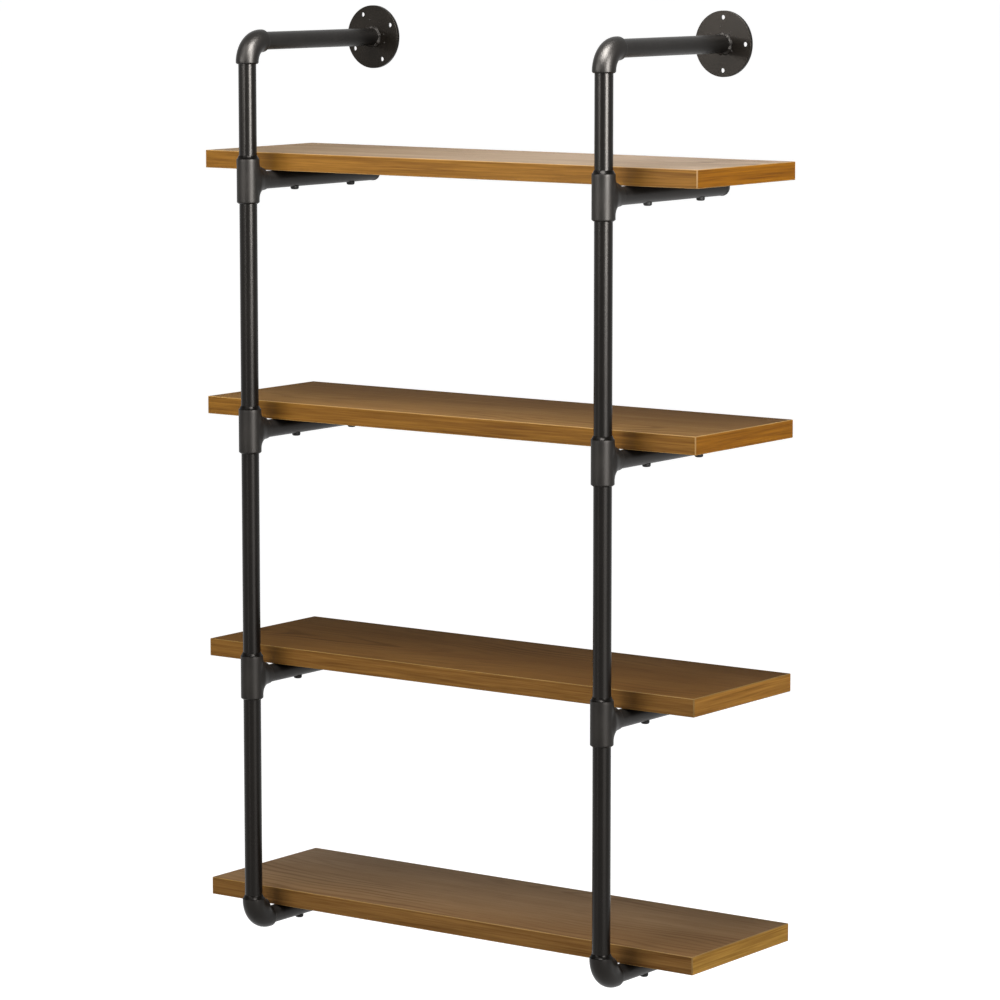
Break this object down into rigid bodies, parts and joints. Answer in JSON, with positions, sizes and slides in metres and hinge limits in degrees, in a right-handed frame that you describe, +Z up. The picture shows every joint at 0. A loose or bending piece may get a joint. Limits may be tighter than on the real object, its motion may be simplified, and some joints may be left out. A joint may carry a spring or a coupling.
{
  "type": "wall-mounted bookshelf",
  "caption": "Open wall shelf: long boards carried in front of the wall on two pipe uprights with cast elbows and tees, hung from round wall flanges.",
  "frame": {"origin": "on the wall plane, midway between the two wall flanges, at the height of the top arms' axes", "axes": "+Z up along the uprights, +Y out of the back into the wall, +X to the right of someone facing the shelf"},
  "size_m": [0.6, 0.2215, 0.9432],
  "materials": {
    "board_laminate": "satin walnut-brown oak laminate with long dark grain",
    "edge_band": "satin golden-brown edge band with fine lengthwise grain",
    "tube_paint": "semi-gloss dark charcoal paint",
    "cast_paint": "satin dark charcoal paint over a slightly grained casting",
    "cap_plastic": "matte black plastic",
    "screw_finish": "black-coated steel"
  },
  "bodies": {
    "root": {"shelf_board_1": "board_laminate", "shelf_board_2": "board_laminate", "shelf_board_3": "board_laminate", "shelf_board_4": "board_laminate", "edge_band_1": "edge_band", "edge_band_2": "edge_band", "edge_band_3": "edge_band", "edge_band_4": "edge_band", "left_wall_flange_arm": "tube_paint", "right_wall_flange_arm": "tube_paint", "left_top_elbow": "cast_paint", "right_top_elbow": "cast_paint", "left_bottom_elbow": "cast_paint", "right_bottom_elbow": "cast_paint", "left_tee_1": "cast_paint", "left_tee_2": "cast_paint", "left_tee_3": "cast_paint", "right_tee_1": "cast_paint", "right_tee_2": "cast_paint", "right_tee_3": "cast_paint", "left_upright_1": "tube_paint", "left_upright_2": "tube_paint", "left_upright_3": "tube_paint", "left_upright_4": "tube_paint", "right_upright_1": "tube_paint", "right_upright_2": "tube_paint", "right_upright_3": "tube_paint", "right_upright_4": "tube_paint", "left_shelf_arm_1": "tube_paint", "left_shelf_arm_2": "tube_paint", "left_shelf_arm_3": "tube_paint", "left_shelf_arm_4": "tube_paint", "right_shelf_arm_1": "tube_paint", "right_shelf_arm_2": "tube_paint", "right_shelf_arm_3": "tube_paint", "right_shelf_arm_4": "tube_paint", "left_arm_cap_1": "cap_plastic", "left_arm_cap_2": "cap_plastic", "left_arm_cap_3": "cap_plastic", "left_arm_cap_4": "cap_plastic", "right_arm_cap_1": "cap_plastic", "right_arm_cap_2": "cap_plastic", "right_arm_cap_3": "cap_plastic", "right_arm_cap_4": "cap_plastic", "left_front_screw_1": "screw_finish", "left_front_screw_2": "screw_finish", "left_front_screw_3": "screw_finish", "left_front_screw_4": "screw_finish", "left_rear_screw_1": "screw_finish", "left_rear_screw_2": "screw_finish", "left_rear_screw_3": "screw_finish", "left_rear_screw_4": "screw_finish", "right_front_screw_1": "screw_finish", "right_front_screw_2": "screw_finish", "right_front_screw_3": "screw_finish", "right_front_screw_4": "screw_finish", "right_rear_screw_1": "screw_finish", "right_rear_screw_2": "screw_finish", "right_rear_screw_3": "screw_finish", "right_rear_screw_4": "screw_finish"}
  },
  "joints": []
}
